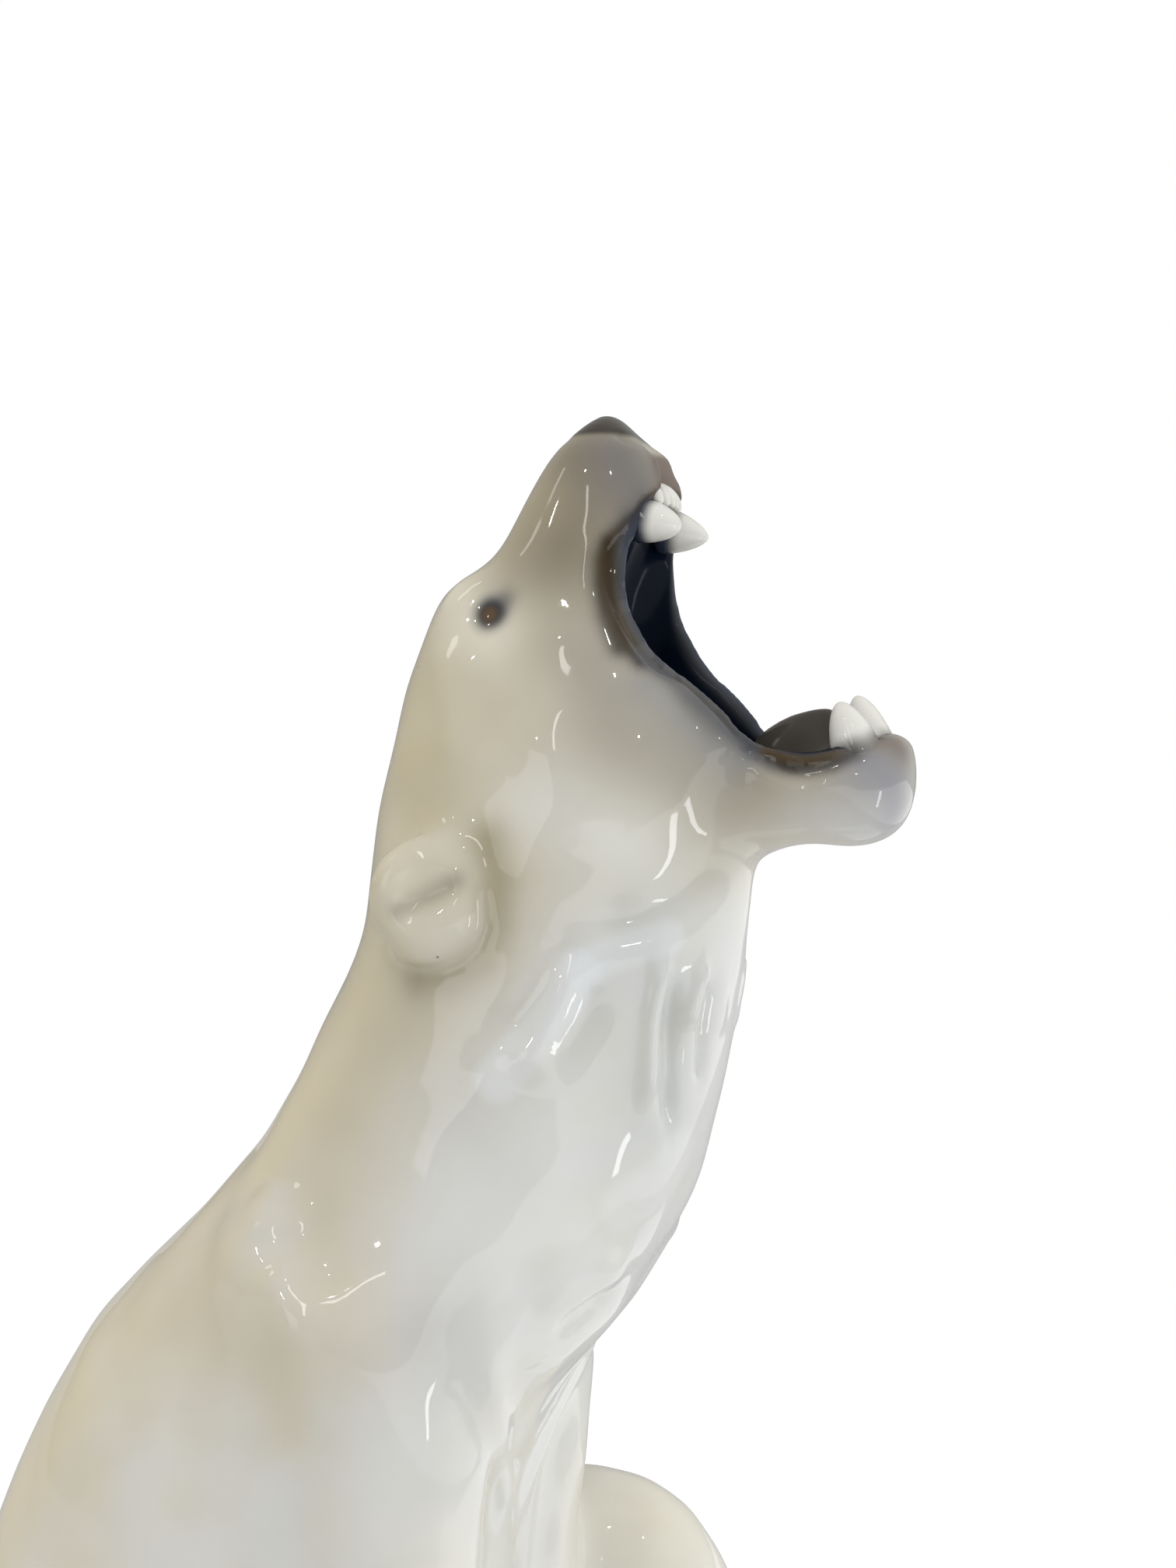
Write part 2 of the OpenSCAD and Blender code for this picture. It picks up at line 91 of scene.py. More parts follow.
# canines are plump cones that lean a little: root and tip in mm, half width in mm,
# how far along them the gum ends, and the two powers of their blunt outline
canines = {
    "right_upper_canine": {"root": (-7.4, -46.8, 298.1), "tip": (-8.4, -58.7, 295.9),
                           "halfWidth": 4.7, "gum": 0.5, "blunt": (2.1, 0.52)},
    "left_upper_canine": {"root": (7.4, -46.8, 298.1), "tip": (8.4, -59.8, 295.5),
                          "halfWidth": 5.3, "gum": 0.5, "blunt": (1.7, 0.62)},
    "right_lower_canine": {"root": (-6.4, -94.4, 247.0), "tip": (-7.5, -89.3, 261.5),
                           "halfWidth": 5.2, "gum": 0.46, "blunt": (2.0, 0.55)},
    "left_lower_canine": {"root": (6.4, -95.0, 247.6), "tip": (7.4, -90.0, 263.3),
                          "halfWidth": 5.0, "gum": 0.46, "blunt": (2.0, 0.55)},
}
skinNodes = [name for name in sorted(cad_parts) if name != "upper_incisors" and name not in canines]


def canineAxis(name):
    root, tip = Vector(canines[name]["root"]) * mm, Vector(canines[name]["tip"]) * mm
    return root, (tip - root).normalized(), (tip - root).length


def joinedCastings():
    bm = bmesh.new()
    for name in skinNodes:
        bm.from_mesh(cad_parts[name].data)
    for name in canines:   # only their stubs join the skin, to fill the sockets
        start = len(bm.verts)
        bm.from_mesh(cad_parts[name].data)
        root, axis, length = canineAxis(name)
        bm.verts.ensure_lookup_table()
        for v in bm.verts[start:]:
            past = (v.co - root).dot(axis) - canines[name]["gum"] * length
            v.co -= axis * max(past, 0) * casting["stubCut"]
    bmesh.ops.remove_doubles(bm, verts=bm.verts, dist=1e-6)
    plugPlace = Matrix.Translation(casting["ventPlug"])
    bmesh.ops.create_cone(bm, cap_ends=True, segments=32, radius1=casting["plugRadius"],
                          radius2=casting["plugRadius"], depth=casting["plugDepth"], matrix=plugPlace)
    mesh = bpy.data.meshes.new("joined")
    bm.to_mesh(mesh)
    bm.free()
    holder = bpy.data.objects.new("joined", mesh)
    scene.collection.objects.link(holder)
    remesh = holder.modifiers.new("skin", "REMESH")
    remesh.mode = "VOXEL"
    remesh.voxel_size = casting["voxel"]
    bpy.context.view_layer.update()
    skin = bpy.data.meshes.new_from_object(holder.evaluated_get(bpy.context.evaluated_depsgraph_get()))
    bpy.data.objects.remove(holder)
    bpy.data.meshes.remove(mesh)
    return skin


def keepOutside(bm):  # the largest island is the outer skin, the rest is the hollow's wall
    left = set(bm.verts)
    islands = []
    while left:
        seed = left.pop()
        island, edge = [seed], [seed]
        while edge:
            near = [e.other_vert(v) for v in edge for e in v.link_edges]
            edge = []
            for v in near:
                if v in left:
                    left.remove(v)
                    edge.append(v)
            island += edge
        islands.append(island)
    islands.sort(key=len)
    for island in islands[:-1]:
        bmesh.ops.delete(bm, geom=island, context="VERTS")
    return len(islands)


def vertexValues(mesh, name):
    values = np.empty(len(mesh.vertices) * 3)
    mesh.vertices.foreach_get(name, values)
    return values.reshape(-1, 3)


def edgesOf(mesh):
    edges = np.empty(len(mesh.edges) * 2, dtype=np.int64)
    mesh.edges.foreach_get("vertices", edges)
    return edges.reshape(-1, 2)


def setPoints(mesh, points):
    mesh.vertices.foreach_set("co", points.reshape(-1))
    mesh.update()


def relax(points, edges, strength, rounds):
    first, second = edges[:, 0], edges[:, 1]
    count = len(points)
    links = np.bincount(first, minlength=count) + np.bincount(second, minlength=count)
    for _ in range(rounds):
        total = np.stack([np.bincount(first, weights=points[second, k], minlength=count)
                          + np.bincount(second, weights=points[first, k], minlength=count) for k in range(3)], axis=1)
        points = points + strength[:, None] * (total / links[:, None] - points)
        points[:, 2] = np.maximum(points[:, 2], 0.0)
    return points


def ramp(value, low, high):
    t = np.clip((value - low) / (high - low), 0, 1)
    return t * t * (3 - 2 * t)


def nodeTree(names):  # nearest-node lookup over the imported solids
    spots, triangles, owners = [], [], []
    for index, name in enumerate(names):
        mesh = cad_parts[name].data
        start = len(spots)
        spots += [v.co.copy() for v in mesh.vertices]
        for p in mesh.polygons:
            triangles.append([start + v for v in p.vertices])
            owners.append(index)
    return BVHTree.FromPolygons(spots, triangles), owners


# how strongly each casting is sponged smooth towards its joints, 1 is fully smoothed
spongeStrength = {
    "body_shell": 0.5, "base_slab": 0.05, "head_shell": 0.3, "lower_jaw": 0.16, "mouth_lining": 0.2, "tongue": 0.2,
    "right_ear": 0.2, "left_ear": 0.2, "right_foreleg": 0.45, "left_foreleg": 0.45, "right_hind_leg": 0.45,
    "left_hind_leg": 0.45, "right_hind_foot": 0.25, "left_hind_foot": 0.25, "tail": 0.3,
}

skinMesh = joinedCastings()
skinBm = bmesh.new()
skinBm.from_mesh(skinMesh)
islandCount = keepOutside(skinBm)
skinBm.to_mesh(skinMesh)
skinBm.free()
castTree, castOwners = nodeTree(skinNodes)


def ownersOf(points):
    return np.array([castOwners[castTree.find_nearest(Vector(p))[2]] for p in points])


def spread(amounts, edges, rounds):  # evens a value out over the skin
    links = np.bincount(edges.ravel(), minlength=len(amounts))
    for _ in range(rounds):
        around = np.bincount(edges.ravel(), weights=amounts[edges[:, ::-1].ravel()], minlength=len(amounts))
        amounts = 0.5 * amounts + 0.5 * around / links
    return amounts


points, edges = vertexValues(skinMesh, "co"), edgesOf(skinMesh)
strength = spread(np.array([spongeStrength[name] for name in skinNodes])[ownersOf(points)], edges, 8)
firmNose = casting["noseFirmness"] * ramp(points[:, 2], *casting["noseFade"])
strength = strength * ramp(points[:, 2], 0.0, casting["footFade"]) * (1 - firmNose)
points = relax(points, edges, strength, casting["relaxRounds"])

# the figure is not quite even, so the lips are pulled a little: place, move and reach in mm
pulls = {
    "nearLip": ((-14.5, -53.9, 279.0), (0.0, 1.2, 0.4), 8.0),
    "nearLipCorner": ((-14.5, -55.0, 271.0), (0.0, 0.7, 0.0), 5.5),
    "nearLipFront": ((-14.0, -68.0, 258.0), (0.0, -1.1, 0.0), 7.0),
    "farLipTop": ((14.5, -48.6, 290.5), (0.0, -1.5, 0.0), 8.0),
    "farLipMiddle": ((14.5, -49.8, 281.0), (0.0, -1.5, 0.0), 8.0),
    "farLipCorner": ((14.5, -54.9, 271.5), (0.0, -1.1, 0.0), 8.0),
    "farLip": ((14.5, -62.0, 264.0), (0.0, -0.7, 0.0), 8.0),
    "incisorNotch": ((0.0, -54.0, 304.0), (0.0, 3.4, 0.5), 4.2),
    "philtrum": ((0.0, -49.0, 309.5), (0.0, 2.0, 0.0), 2.8),
    "rightFrontLip": ((-7.0, -52.5, 305.5), (-0.4, -2.8, -0.3), 4.4),
    "leftFrontLip": ((7.0, -52.5, 305.5), (0.4, -3.2, -0.3), 4.4),
    "rightLipPad": ((-7.0, -51.0, 309.6), (0.0, -2.0, 0.0), 3.8),
    "leftLipPad": ((7.0, -49.5, 311.4), (0.0, -2.2, 0.1), 3.8),
    "tongueHump": ((0.0, -86.0, 258.5), (0.0, -0.6, 1.6), 5.0),
}


def closeTo(places, place, reach):  # 1 at the place, less and less over the reach
    return np.exp(-(np.linalg.norm(places - np.array(place) * mm, axis=1) / (reach * mm)) ** 2)


for place, move, reach in pulls.values():
    points = points + closeTo(points, place, reach)[:, None] * np.array(move) * mm
setPoints(skinMesh, points)


def beforePulls(places):  # about where the skin was before the lips were pulled
    was = places.copy()
    for _ in range(2):
        was = places - sum(closeTo(was, place, reach)[:, None] * np.array(move) * mm
                           for place, move, reach in pulls.values())
    return was


print("skin joined:", islandCount, "islands,", len(points), "points")

# lines drawn over the photograph, in its pixels, land on the skin where its camera sees them
skinTree = BVHTree.FromPolygons([Vector(p) for p in points], [list(p.vertices) for p in skinMesh.polygons])
farSide = 8 * mm   # places further across are not on the near side


def onSkin(px, py):
    across = (px - photoCamera["imageSize"][0] / 2) / photoCamera["focalPixels"]
    down = (py - photoCamera["imageSize"][1] / 2) / photoCamera["focalPixels"]
    ray = (-viewBack + viewRight * across - Vector((0, 0, down))).normalized()
    spot, normal, _, _ = skinTree.ray_cast(cameraSpot, ray)
    return spot, normal


def photoLine(pixels):  # the near side stands for both, so each spot is folded to the bear's right
    spots, normals = [], []
    for px, py in pixels:
        spot, normal = onSkin(px, py)
        if spot is None or spot.x > farSide:
            print("off the skin:", px, py)
            continue
        flip = -1 if spot.x > 0 else 1
        spots.append((spot.x * flip, spot.y, spot.z))
        normals.append((normal.x * flip, normal.y, normal.z))
    if len(spots) == 1:
        spots, normals = spots * 2, normals * 2
    return np.array(spots), np.array(normals)


def solidLine(places):  # a line given in millimetres, dropped onto the nearest skin
    spots, normals = [], []
    for place in places:
        spot, normal, _, _ = skinTree.find_nearest(Vector(place) * mm)
        spots.append(spot[:])
        normals.append(normal[:])
    return np.array(spots), np.array(normals)


# each fold: line in pixels, height in mm (minus is a groove), half width in mm
headFolds = {
    "brow": ([(575, 800), (582, 775), (595, 756), (620, 742), (648, 744)], 0.8, 3.4),
    "browBoss": ([(592, 770)], 0.6, 6.0),
    "eyeSocket": ([(618, 797), (630, 788), (646, 772)], -0.6, 4.2),
    "eyeBall": ([(629, 788)], 0.35, 2.2),
    "skullEdge": ([(565, 810), (567, 850), (573, 920), (576, 960), (568, 1000)], 0.6, 3.0),
    "templeHollow": ([(610, 850), (618, 920), (622, 980)], -0.6, 5.0),
    "cheekBone": ([(665, 900), (700, 960), (740, 1040), (790, 1085)], 0.9, 7.0),
    "muzzleHollow": ([(690, 700), (720, 760), (735, 820)], -0.8, 6.0),
    "nostril": ([(800, 562), (808, 566)], -0.9, 1.3),
    "jawCorner": ([(930, 955), (945, 985), (970, 1005)], -0.6, 2.2),
}
throatFolds = {
    "jawCrease": ([(740, 1190), (790, 1185), (830, 1175), (880, 1150), (930, 1105), (960, 1088)], -2.17, 3.6),
    "frontCord": ([(850, 1215), (845, 1270), (836, 1320), (832, 1380), (826, 1440)], 2.1, 2.0),
    "midCord": ([(905, 1235), (890, 1290), (880, 1330)], 1.8, 1.8),
    "edgeCord": ([(935, 1240), (928, 1300), (920, 1340)], 0.6, 2.4),
    "frontGutter": ([(872, 1240), (862, 1320), (860, 1400), (862, 1470)], -1.9, 2.1),
    "midGutter": ([(916, 1250), (904, 1330), (898, 1400)], -1.6, 1.9),
    "neckFold": ([(745, 1215), (720, 1290), (690, 1350), (650, 1390)], 2.17, 4.2),
    "neckFoldBack": ([(735, 1200), (700, 1270), (640, 1350)], -0.9, 3.2),
    "neckFoldFront": ([(765, 1250), (745, 1310), (705, 1380)], -1.3, 3.2),
}
chestFolds = {
    "chestEdge": ([(700, 1610), (688, 1650), (690, 1700), (712, 1740)], -0.9, 4.5),
    "chestBoss": ([(785, 1635)], 1.4, 5.0),
    "chestDent": ([(770, 1680), (740, 1705)], -2.1, 4.0),
    "shinRidge": ([(655, 1650), (632, 1700), (627, 1750), (632, 1800), (640, 1850), (648, 1920), (657, 1990)], 1.9, 4.0),
    "shinBack": ([(590, 1760), (600, 1820), (595, 1900)], -1.05, 6.0),
    "shoulderBlade": ([(340, 1600), (345, 1550), (365, 1515)], 1.8, 5.0),
    "shoulderLine": ([(345, 1620), (370, 1680), (395, 1740)], 1.5, 5.0),
    "shoulderDip": ([(385, 1560), (405, 1610), (430, 1670)], -1.5, 6.0),
}
earFolds = {
    "earRim": ([(478, 1165), (484, 1140), (502, 1110), (530, 1085), (556, 1074)], 0.5, 2.2),
    "earSlit": ([(505, 1172), (525, 1163), (550, 1150), (575, 1138), (592, 1130)], -1.0, 2.2),
    "earLobe": ([(560, 1190), (575, 1180)], 0.7, 4.0),
    "earEdge": ([(612, 1110), (619, 1154), (620, 1192), (610, 1218), (590, 1238), (556, 1251), (515, 1246),
                 (492, 1232)], -1.1, 1.7),
}
# grooves between the toes, in mm on the bear's right, from the front up over the paw
toeLines = {
    "pawInner": [(-21.5, -50, 4), (-22, -49, 11), (-22.5, -42, 21), (-23.5, -32, 24)],
    "pawMiddle": [(-30, -51, 4), (-30, -50, 11), (-30, -43, 21), (-30, -32, 24)],
    "pawOuter": [(-38.5, -50, 4), (-38, -49, 11), (-37.5, -42, 21), (-36.5, -32, 24)],
    "footInner": [(-55, -93, 4), (-55, -91, 12), (-55, -80, 21), (-56, -66, 24)],
    "footMiddle": [(-63, -95, 4), (-63, -92, 12), (-62.5, -81, 22), (-62, -66, 24)],
    "footOuter": [(-71, -93, 4), (-70.5, -91, 12), (-69.5, -80, 21), (-68, -66, 24)],
}
toeGroove = (-1.1, 1.7)
folds = {}
for group in (headFolds, throatFolds, chestFolds, earFolds):
    for name, (pixels, height, width) in group.items():
        folds[name] = (photoLine(pixels), height, width)
for name, places in toeLines.items():
    folds[name] = (solidLine(places), *toeGroove)


def foldedAcross(vectors, sides):
    return vectors * np.stack([np.where(sides > 0, -1.0, 1.0), np.ones(len(sides)), np.ones(len(sides))], axis=1)


def nearLine(line, width, fade=0.0, edge=2):  # how strongly a brush along the line touches each point of the skin
    spots, normals = line
    low, high = spots.min(axis=0) - 3 * width, spots.max(axis=0) + 3 * width
    near = np.flatnonzero(((folded > low) & (folded < high)).all(axis=1))
    p, pn = folded[near], foldedNormals[near]
    lengths = np.linalg.norm(np.diff(spots, axis=0), axis=1)
    whole = max(lengths.sum(), 1e-9)
    best, facing, along = np.full(len(near), 1e9), np.zeros(len(near)), np.zeros(len(near))
    done = 0.0
    for a, b, na, nb, length in zip(spots[:-1], spots[1:], normals[:-1], normals[1:], lengths):
        run = b - a
        t = np.clip((p - a) @ run / max(run @ run, 1e-12), 0, 1)[:, None]
        away = np.linalg.norm(p - a - t * run, axis=1)
        closer = away < best
        best = np.where(closer, away, best)
        facing = np.where(closer, ((na + t * (nb - na)) * pn).sum(axis=1), facing)
        along = np.where(closer, (done + t[:, 0] * length) / whole, along)
        done += length
    touch = np.exp(-(best / width) ** edge) * np.clip(0.3 + 1.2 * facing, 0, 1)   # skin that faces away stays clean
    if fade > 0 and whole > 3 * width:   # long strokes run out at their ends
        touch = touch * (0.15 + 0.85 * ramp(np.minimum(along, 1 - along), 0, fade))
    weight = np.zeros(len(folded))
    weight[near] = touch
    return weight


def refreshSkin():
    global points, normals, folded, foldedNormals
    points, normals = vertexValues(skinMesh, "co"), vertexValues(skinMesh, "normal")
    folded, foldedNormals = foldedAcross(points, points[:, 0]), foldedAcross(normals, points[:, 0])


# the round gape between the jaws, in mm; the lips follow it
gape = {"reach": 72.0, "height": 277.0, "radius": 32.0, "halfWidth": 12.5, "corner": 8.0}
# where the lips change, in mm forward or up
lipParts = {"jawBack": (74, 86), "jawTop": (258, 266), "cornerBack": (55, 62), "cornerTop": (266, 276), "nose": (288, 303)}


def lipDistance(places):  # mm outwards from the gape; the lips thin out at their corners and under the nose
    places = beforePulls(places)
    across, along, up = np.abs(places[:, 0]) / mm, -places[:, 1] / mm, places[:, 2] / mm
    around = np.hypot(along - gape["reach"], up - gape["height"])
    side = np.maximum(across - gape["halfWidth"] + gape["corner"], 0)
    back = np.maximum(around - gape["radius"] + gape["corner"], 0)
    away = np.hypot(side, back) - gape["corner"]
    past = ramp(along, *lipParts["jawBack"])
    onJaw = past * (1 - ramp(up, *lipParts["jawTop"]))
    atCorner = ramp(along, *lipParts["cornerBack"]) * (1 - past) * (1 - ramp(up, *lipParts["cornerTop"]))
    thinning = 1 - 0.3 * onJaw - 0.45 * atCorner - 0.7 * ramp(up, *lipParts["nose"])
    return (away - 1.4 * onJaw) / thinning


# finer skin near the modelled lines and the lips, and finer still round the eyes
def refine(isNear):
    bm = bmesh.new()
    bm.from_mesh(skinMesh)
    wanted = [f for f in bm.faces if all(isNear[v.index] for v in f.verts)]
    lines = list({e for f in wanted for e in f.edges})
    bmesh.ops.subdivide_edges(bm, edges=lines, cuts=1, use_grid_fill=True)
    bm.to_mesh(skinMesh)
    bm.free()


refreshSkin()
lipGap = lipDistance(points)
lipFoot, noseFoot = 236 * mm, 309 * mm
nearFolds = (lipGap > -1.5) & (lipGap < 8) & (points[:, 2] > lipFoot)
nearFolds |= points[:, 2] > noseFoot
for line, height, width in folds.values():
    if width <= casting["finestFold"]:
        nearFolds |= nearLine(line, casting["fineReach"]) > 0.3
refine(nearFolds)
refreshSkin()
eyeSpot = photoLine([(628, 783)])
refine(nearLine(eyeSpot, casting["eyeReach"]) > 0.35)
refreshSkin()
edges = edgesOf(skinMesh)
points = relax(points, edges, np.full(len(points), 0.35), 4)
setPoints(skinMesh, points)
refreshSkin()
print("skin refined:", len(points), "points")

# the modeller's tool marks, a faint waviness of the hand-sponged clay
waviness = {"seed": 11, "waves": 26, "longest": 34 * mm, "shortest": 11 * mm, "height": 0.035 * mm}


def clayWaves(places, settings):
    draw = np.random.default_rng(settings["seed"])
    total = np.zeros(len(places))
    for _ in range(settings["waves"]):
        way = draw.normal(size=3)
        span = draw.uniform(settings["shortest"], settings["longest"])
        total += settings["height"] * np.sin(places @ (way / np.linalg.norm(way)) * 2 * math.pi / span
                                             + draw.uniform(0, 2 * math.pi))
    return total


# relief of the lips: distance from the gape, height and half width in mm
lipRelief = [(0.9, 0.4, 1.0), (4.4, -0.9, 1.4), (7.6, 0.6, 2.0)]
lipGap = lipDistance(points)
lipWhere = (1 - ramp(points[:, 2], 286 * mm, 297 * mm)) * ramp(points[:, 1], -96 * mm, -88 * mm)
lipWhere = lipWhere * ramp(points[:, 2], 238 * mm, 244 * mm)
noseEdge = 314.4 * mm

lift = clayWaves(points, waviness)
for middle, height, width in lipRelief:
    lift += height * mm * lipWhere * np.exp(-((lipGap - middle) / width) ** 2)
lift -= 0.15 * mm * np.exp(-((points[:, 2] - noseEdge + 0.6 * mm) / (0.9 * mm)) ** 2)
for line, height, width in folds.values():
    lift += height * mm * nearLine(line, width * mm, 0.25)
lift = lift * ramp(points[:, 2], 0.0, 3 * mm)
points = points + normals * lift[:, None]
points = relax(points, edges, np.full(len(points), 0.3), 2)
setPoints(skinMesh, points)
refreshSkin()
print("folds modelled:", len(folds))

# labels: which casting each face of the skin belongs to
centres = np.empty(len(skinMesh.polygons) * 3)
skinMesh.polygons.foreach_get("center", centres)
labels = ownersOf(centres.reshape(-1, 3))


def steadyLabels(labels, rounds):  # a face goes with most of its neighbours, so the joints run clean
    bm = bmesh.new()
    bm.from_mesh(skinMesh)
    pairs = np.array([[f.index for f in e.link_faces] for e in bm.edges if len(e.link_faces) == 2])
    bm.free()
    for _ in range(rounds):
        votes = np.zeros((len(labels), len(skinNodes)))
        votes[np.arange(len(labels)), labels] = 1.5
        np.add.at(votes, (pairs[:, 0], labels[pairs[:, 1]]), 1)
        np.add.at(votes, (pairs[:, 1], labels[pairs[:, 0]]), 1)
        labels = votes.argmax(axis=1)
    return labels


labels = steadyLabels(labels, 8)
print("labels:", {name: int((labels == i).sum()) for i, name in enumerate(skinNodes)})

# airbrushed underglaze, with painted shade and a painted reflection in the coats marked so: colours are linear, each
# coat is a line in pixels, half width in mm, colour, amount
whiteBody = (0.72, 0.72, 0.695)
airbrush = {
    "muzzle": ([(745, 600), (745, 640), (725, 690)], 16.0, (0.22, 0.185, 0.135), 0.9),
    "muzzleFront": ([(800, 590), (815, 620)], 9.0, (0.16, 0.155, 0.155), 0.75),
    "noseBridge": ([(700, 650), (670, 700)], 8.0, (0.4, 0.345, 0.24), 0.5),
    "cheek": ([(760, 860), (810, 930), (870, 965), (930, 1000)], 14.0, (0.34, 0.315, 0.265), 0.75),
    "cheekLow": ([(690, 1030), (740, 1060), (800, 1085)], 9.5, (0.74, 0.735, 0.69), 0.65),
    "neckOlive": ([(450, 1440), (480, 1370), (540, 1330), (600, 1290)], 13.0, (0.52, 0.46, 0.31), 0.6),
    "shoulderOlive": ([(250, 1690), (330, 1740)], 14.0, (0.56, 0.5, 0.36), 0.5),
    "cheekPale": ([(640, 850), (680, 900), (650, 960)], 8.0, (0.66, 0.62, 0.5), 0.5),
    "jawSide": ([(990, 1010), (1040, 1015), (1090, 1010)], 6.5, (0.34, 0.3, 0.215), 0.5),
    # grey chin: partly underglaze grey, partly a painted reflection of a darker room
    "chin": ([(1125, 985), (1148, 1010), (1150, 1040)], 9.0, (0.28, 0.28, 0.31), 0.9),
    "chinUnder": ([(1040, 1050), (1110, 1062)], 6.0, (0.6, 0.6, 0.6), 0.5),
    "eyePale": ([(588, 770), (600, 800), (630, 815)], 7.0, (0.82, 0.78, 0.66), 0.7),
    # olive underglaze round the ear, darkened as painted shade in the crease between ear and neck
    "earOliveAndShadow": ([(628, 1080), (640, 1130), (638, 1190), (622, 1235), (580, 1258), (540, 1262)],
                 4.2, (0.33, 0.28, 0.17), 0.75),
    "earTop": ([(520, 1150), (560, 1190)], 7.0, (0.68, 0.64, 0.53), 0.6),
    # painted shade in the ear's slit
    "earSlitShadow": ([(510, 1170), (550, 1150), (588, 1132)], 2.0, (0.34, 0.31, 0.24), 0.65),
    "throat": ([(830, 1250), (860, 1350), (850, 1450)], 16.0, (0.55, 0.56, 0.54), 0.5),
    "eyeTail": ([(633, 784), (648, 768)], 2.4, (0.16, 0.15, 0.15), 0.7),
    # a darker brown stroke on the lip beside the lower canine's foot
    "chinDarkStroke": ([(1105, 945), (1130, 950), (1150, 955)], 4.0, (0.19, 0.145, 0.105), 0.65),
    "shoulder": ([(400, 1560), (430, 1640), (470, 1720)], 12.0, (0.6, 0.54, 0.41), 0.6),
    "neckSide": ([(640, 1330), (600, 1400)], 14.0, (0.62, 0.61, 0.56), 0.6),
    "napePale": ([(506, 1075), (512, 1115)], 6.0, (0.76, 0.69, 0.54), 0.5),
    "legGrey": ([(545, 1720), (560, 1800), (575, 1880)], 9.0, (0.55, 0.545, 0.53), 0.6),
}
# painted reflections in the folds of the neck, throat and chest: pale strips with a clear edge where the glaze would
# mirror the light
paintedReflections = {
    "neckReflection": ([(640, 1388), (672, 1348), (712, 1302), (744, 1250)], 4.4, (0.77, 0.79, 0.805), 0.6),
    "throatReflection": ([(744, 1246), (800, 1222), (860, 1204)], 3.6, (0.75, 0.77, 0.785), 0.5),
    "chestReflection": ([(806, 1548), (846, 1524), (872, 1488)], 6.0, (0.78, 0.79, 0.795), 0.4),
}
eyeCoats = {
    "eyeShade": ([(630, 787)], 4.0, (0.1, 0.1, 0.115), 0.8),
    "eyeDark": ([(630, 787)], 2.9, (0.03, 0.03, 0.037), 0.96),
    "eyeBrown": ([(628, 790)], 1.9, (0.13, 0.082, 0.042), 0.85),
}
# bands along the lips: distance from the gape and half width in mm, colour, amount
lipBands = [
    (4.8, 1.8, (0.075, 0.05, 0.02), 0.9),
    (1.5, 2.1, (0.07, 0.08, 0.104), 0.95),
]
# painted shade beside the upper lip, darkest on the shadowed side of its groove, then the tints round the lips and the
# golden brown in their grooves
lipShade = {
    "upperHalo": ([(806, 678), (788, 696), (778, 722), (774, 754), (779, 795), (795, 834)],
                  2.3, (0.045, 0.04, 0.034), 0.85),
}
lipTints = {
    "jawHalo": ([(968, 968), (990, 980), (1010, 985), (1040, 986), (1070, 982), (1096, 968)],
                2.0, (0.03, 0.032, 0.038), 0.8),
    "cornerHalo": ([(832, 884), (868, 916), (908, 948), (948, 976)], 5.0, (0.26, 0.263, 0.275), 0.55),
    # brown paint in the upper lip's groove, darkened as painted shade on the groove's shadowed side
    "upperGroove": ([(783, 700), (785, 735), (787, 770), (794, 806), (807, 834), (821, 852)],
                    1.9, (0.034, 0.022, 0.007), 0.94),
    "cornerGroove": ([(829, 847), (857, 871), (890, 902), (927, 934), (962, 957)], 3.0, (0.085, 0.09, 0.103), 0.85),
    "jawGroove": ([(985, 966), (1010, 975), (1045, 978), (1078, 968)], 1.2, (0.09, 0.06, 0.026), 0.8),
    # darker strokes at the foot of the lower canine and beside it on the lip
    "canineFootDarkStroke": ([(1080, 962), (1105, 958), (1124, 946)], 2.2, (0.1, 0.092, 0.085), 0.6),
    "lipDarkStroke": ([(1140, 948), (1160, 962)], 3.6, (0.19, 0.165, 0.15), 0.55),
    "canineGum": ([(812, 690), (818, 668), (832, 654)], 3.0, (0.035, 0.042, 0.062), 0.75),
}
# broad coats that follow the form and not a line; some carry painted light, shade or reflection, as marked where they
# are laid
tints = {
    "back": (0.73, 0.635, 0.42),
    "head": (0.58, 0.525, 0.385),
    "headBack": (0.58, 0.515, 0.345),
    "cloud": (0.63, 0.59, 0.47),
    "knee": (0.86, 0.81, 0.67),
    "mouthEdge": (0.15, 0.13, 0.105),
    "lipFront": (0.14, 0.105, 0.09),
    "lipNotch": (0.2, 0.13, 0.1),
    "nose": (0.05, 0.042, 0.034),
    "mouth": (0.004, 0.008, 0.019),
    "tongue": (0.06, 0.053, 0.044),
}
paint = np.tile(np.array(whiteBody), (len(points), 1))


def coat(colour, amount):
    global paint
    paint = paint + np.clip(amount, 0, 1)[:, None] * (np.array(colour) - paint)


def spray(coats, edge=2):
    for pixels, width, colour, amount in coats.values():
        coat(colour, amount * nearLine(photoLine(pixels), width * mm, edge=edge))


up, forward = points[:, 2], -points[:, 1]
mottle = clayWaves(points, {"seed": 5, "waves": 22, "longest": 60 * mm, "shortest": 14 * mm, "height": 0.05})
# warm beige where the body faces back: partly underglaze, partly a painted reflection of a warm wall
backFacing = ramp(normals[:, 1] + 0.35 * mottle, -0.3, 0.8) * ramp(up, 20 * mm, 90 * mm)
coat(tints["back"], 0.9 * backFacing)
headBeige = ramp(up - 0.35 * forward + 8 * mm * mottle, 190 * mm, 222 * mm)
coat(tints["head"], 0.75 * headBeige)
# the head is darker and yellower where it faces back: partly underglaze, partly painted shade
coat(tints["headBack"], 0.75 * headBeige * ramp(normals[:, 1] + 0.3 * mottle, -0.4, 0.75))
coat(tints["cloud"], 0.28 * ramp(mottle, 0.0, 0.35) * ramp(up, 60 * mm, 110 * mm))
spray(airbrush)
